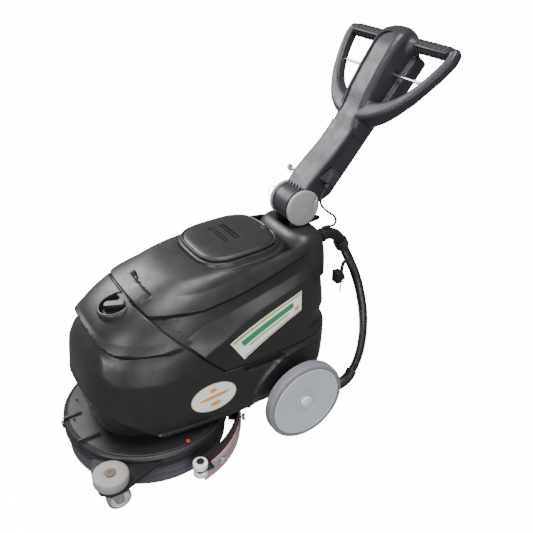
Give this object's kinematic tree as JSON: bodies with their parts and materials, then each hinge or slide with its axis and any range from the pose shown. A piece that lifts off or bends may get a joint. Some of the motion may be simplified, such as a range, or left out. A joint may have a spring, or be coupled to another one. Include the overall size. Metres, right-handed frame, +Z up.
{
  "type": "floor scrubber machine",
  "caption": "Compact walk-behind floor scrubber with two tanks, round brush deck, curved squeegee, large rear wheels and a folding loop handle.",
  "frame": {"origin": "centre of the bounding box of the machine without its hose and cable, on the floor", "axes": "+Z up, +Y towards the user behind the machine, +X towards the machine's left side"},
  "size_m": [0.5294, 0.986, 0.969],
  "materials": {
    "tank_plastic": "satin",
    "black_plastic": "matte",
    "handle_plastic": "satin metallic",
    "grip_rubber": "matte",
    "pale_plastic": "satin",
    "hub_plastic": "satin",
    "tyre_rubber": "matte",
    "bumper_plastic": "matte",
    "white_plastic": "satin",
    "blade_rubber": "satin",
    "steel": "brushed",
    "bristle": "matte",
    "motor_metal": "satin",
    "red_plastic": "gloss",
    "hose_plastic": "satin",
    "cable_rubber": "matte"
  },
  "bodies": {
    "chassis": {"chassis_frame": "black_plastic", "rear_axle": "steel", "solution_tank": "tank_plastic", "recovery_tank": "tank_plastic", "float_cage": "white_plastic", "lid_hinge_pin": "steel", "brush_motor": "motor_metal", "gearbox": "motor_metal", "vacuum_motor": "motor_metal", "deck_cover": "black_plastic", "deck_skirt": "black_plastic", "corner_bracket": "black_plastic", "bumper_bolt": "steel", "hinge_bracket": "black_plastic", "hinge_pin": "steel", "hose_elbow": "black_plastic", "hose_cuff": "black_plastic", "hose_port": "black_plastic", "hook_block": "black_plastic", "vacuum_hose": "hose_plastic", "handle_cable": "cable_rubber"},
    "handle": {"handle_arm": "handle_plastic", "handle_head": "handle_plastic", "left_grip": "grip_rubber", "right_grip": "grip_rubber", "left_hinge_cap": "pale_plastic", "right_hinge_cap": "pale_plastic", "cable_gland": "grip_rubber"},
    "switch_bar": {"drive_switch_bar": "steel"},
    "fold_lever": {"release_lever": "pale_plastic"},
    "lid": {"tank_lid": "tank_plastic", "lid_gasket": "grip_rubber"},
    "fill_cap": {"filler_cap": "black_plastic"},
    "float": {"float_ball": "bumper_plastic"},
    "left_wheel": {"left_tyre": "tyre_rubber", "left_hub": "hub_plastic", "left_hub_cap": "pale_plastic"},
    "right_wheel": {"right_tyre": "tyre_rubber", "right_hub": "hub_plastic", "right_hub_cap": "pale_plastic"},
    "bumper": {"bumper_roller": "bumper_plastic"},
    "caster": {"caster_fork": "steel"},
    "caster_roller": {"caster_wheel": "tyre_rubber"},
    "brush": {"drive_shaft": "steel", "brush_block": "motor_metal", "brush_bristles": "bristle"},
    "squeegee": {"squeegee_frame": "black_plastic", "squeegee_blade": "blade_rubber", "squeegee_front_blade": "blade_rubber", "squeegee_clamp_strip": "steel", "wing_nut_1": "pale_plastic", "wing_nut_2": "pale_plastic", "wing_nut_3": "pale_plastic", "wing_nut_4": "pale_plastic"},
    "roller_left_upper": {"left_upper_roller": "white_plastic"},
    "roller_left_lower": {"left_lower_roller": "white_plastic"},
    "roller_right_upper": {"right_upper_roller": "white_plastic"},
    "roller_right_lower": {"right_lower_roller": "white_plastic"},
    "hook": {"cord_hook": "black_plastic"},
    "valve": {"valve_knob": "red_plastic"}
  },
  "joints": [
    {"name": "handle_fold", "type": "hinge", "parent": "chassis", "child": "handle", "pos_m": [0, 0.152, 0.559], "axis": [-1, 0, 0], "range_deg": [-125, 20], "deforming": ["handle_cable"]},
    {"name": "switch_squeeze", "type": "slide", "parent": "handle", "child": "switch_bar", "axis": [0, 0.6293, 0.7771], "range_m": [0, 0.01], "stiffness_N_per_m": 600, "springref_m": -0.006},
    {"name": "fold_release", "type": "hinge", "parent": "handle", "child": "fold_lever", "pos_m": [-0.05, 0.17832, 0.62647], "axis": [1, 0, 0], "range_deg": [0, 25], "stiffness_Nm_per_rad": 0.6, "springref_deg": -11.46},
    {"name": "lid_open", "type": "hinge", "parent": "chassis", "child": "lid", "pos_m": [0, 0.0675, 0.5142], "axis": [-1, 0, 0], "range_deg": [0, 90]},
    {"name": "cap_turn", "type": "hinge", "parent": "chassis", "child": "fill_cap", "pos_m": [0.034, -0.334, 0.374], "axis": [0, -0.2656, 0.9641], "range_deg": [0, 90]},
    {"name": "float_rise", "type": "slide", "parent": "chassis", "child": "float", "axis": [0, 0, 1], "range_m": [0, 0.035]},
    {"name": "left_wheel_roll", "type": "hinge", "parent": "chassis", "child": "left_wheel", "pos_m": [0.207, 0.0635, 0.11], "axis": [1, 0, 0], "continuous": true},
    {"name": "right_wheel_roll", "type": "hinge", "parent": "chassis", "child": "right_wheel", "pos_m": [-0.207, 0.0635, 0.11], "axis": [1, 0, 0], "continuous": true},
    {"name": "bumper_spin", "type": "hinge", "parent": "chassis", "child": "bumper", "pos_m": [0.203, -0.452, 0.098], "axis": [0, 0, 1], "continuous": true},
    {"name": "caster_swivel", "type": "hinge", "parent": "chassis", "child": "caster", "pos_m": [0.203, -0.452, 0.062], "axis": [0, 0, 1], "continuous": true},
    {"name": "caster_roll", "type": "hinge", "parent": "caster", "child": "caster_roller", "pos_m": [0.203, -0.44, 0.029], "axis": [1, 0, 0], "continuous": true},
    {"name": "brush_spin", "type": "hinge", "parent": "chassis", "child": "brush", "pos_m": [0, -0.2815, 0.04], "axis": [0, 0, 1], "continuous": true},
    {"name": "squeegee_swing", "type": "hinge", "parent": "chassis", "child": "squeegee", "pos_m": [0, -0.2815, 0.07], "axis": [0, 0, 1], "range_deg": [-12, 12]},
    {"name": "left_upper_roller_spin", "type": "hinge", "parent": "squeegee", "child": "roller_left_upper", "pos_m": [0.247, -0.2515, 0.072], "axis": [0, 0, 1], "continuous": true},
    {"name": "left_lower_roller_spin", "type": "hinge", "parent": "squeegee", "child": "roller_left_lower", "pos_m": [0.247, -0.2515, 0.049], "axis": [0, 0, 1], "continuous": true},
    {"name": "right_upper_roller_spin", "type": "hinge", "parent": "squeegee", "child": "roller_right_upper", "pos_m": [-0.247, -0.2515, 0.072], "axis": [0, 0, 1], "continuous": true},
    {"name": "right_lower_roller_spin", "type": "hinge", "parent": "squeegee", "child": "roller_right_lower", "pos_m": [-0.247, -0.2515, 0.049], "axis": [0, 0, 1], "continuous": true},
    {"name": "hook_turn", "type": "hinge", "parent": "chassis", "child": "hook", "pos_m": [0.124, 0.2255, 0.384], "axis": [0, 1, 0], "range_deg": [0, 180]},
    {"name": "valve_turn", "type": "hinge", "parent": "chassis", "child": "valve", "pos_m": [0.194, -0.2565, 0.104], "axis": [0, 0, 1], "range_deg": [0, 90]}
  ]
}
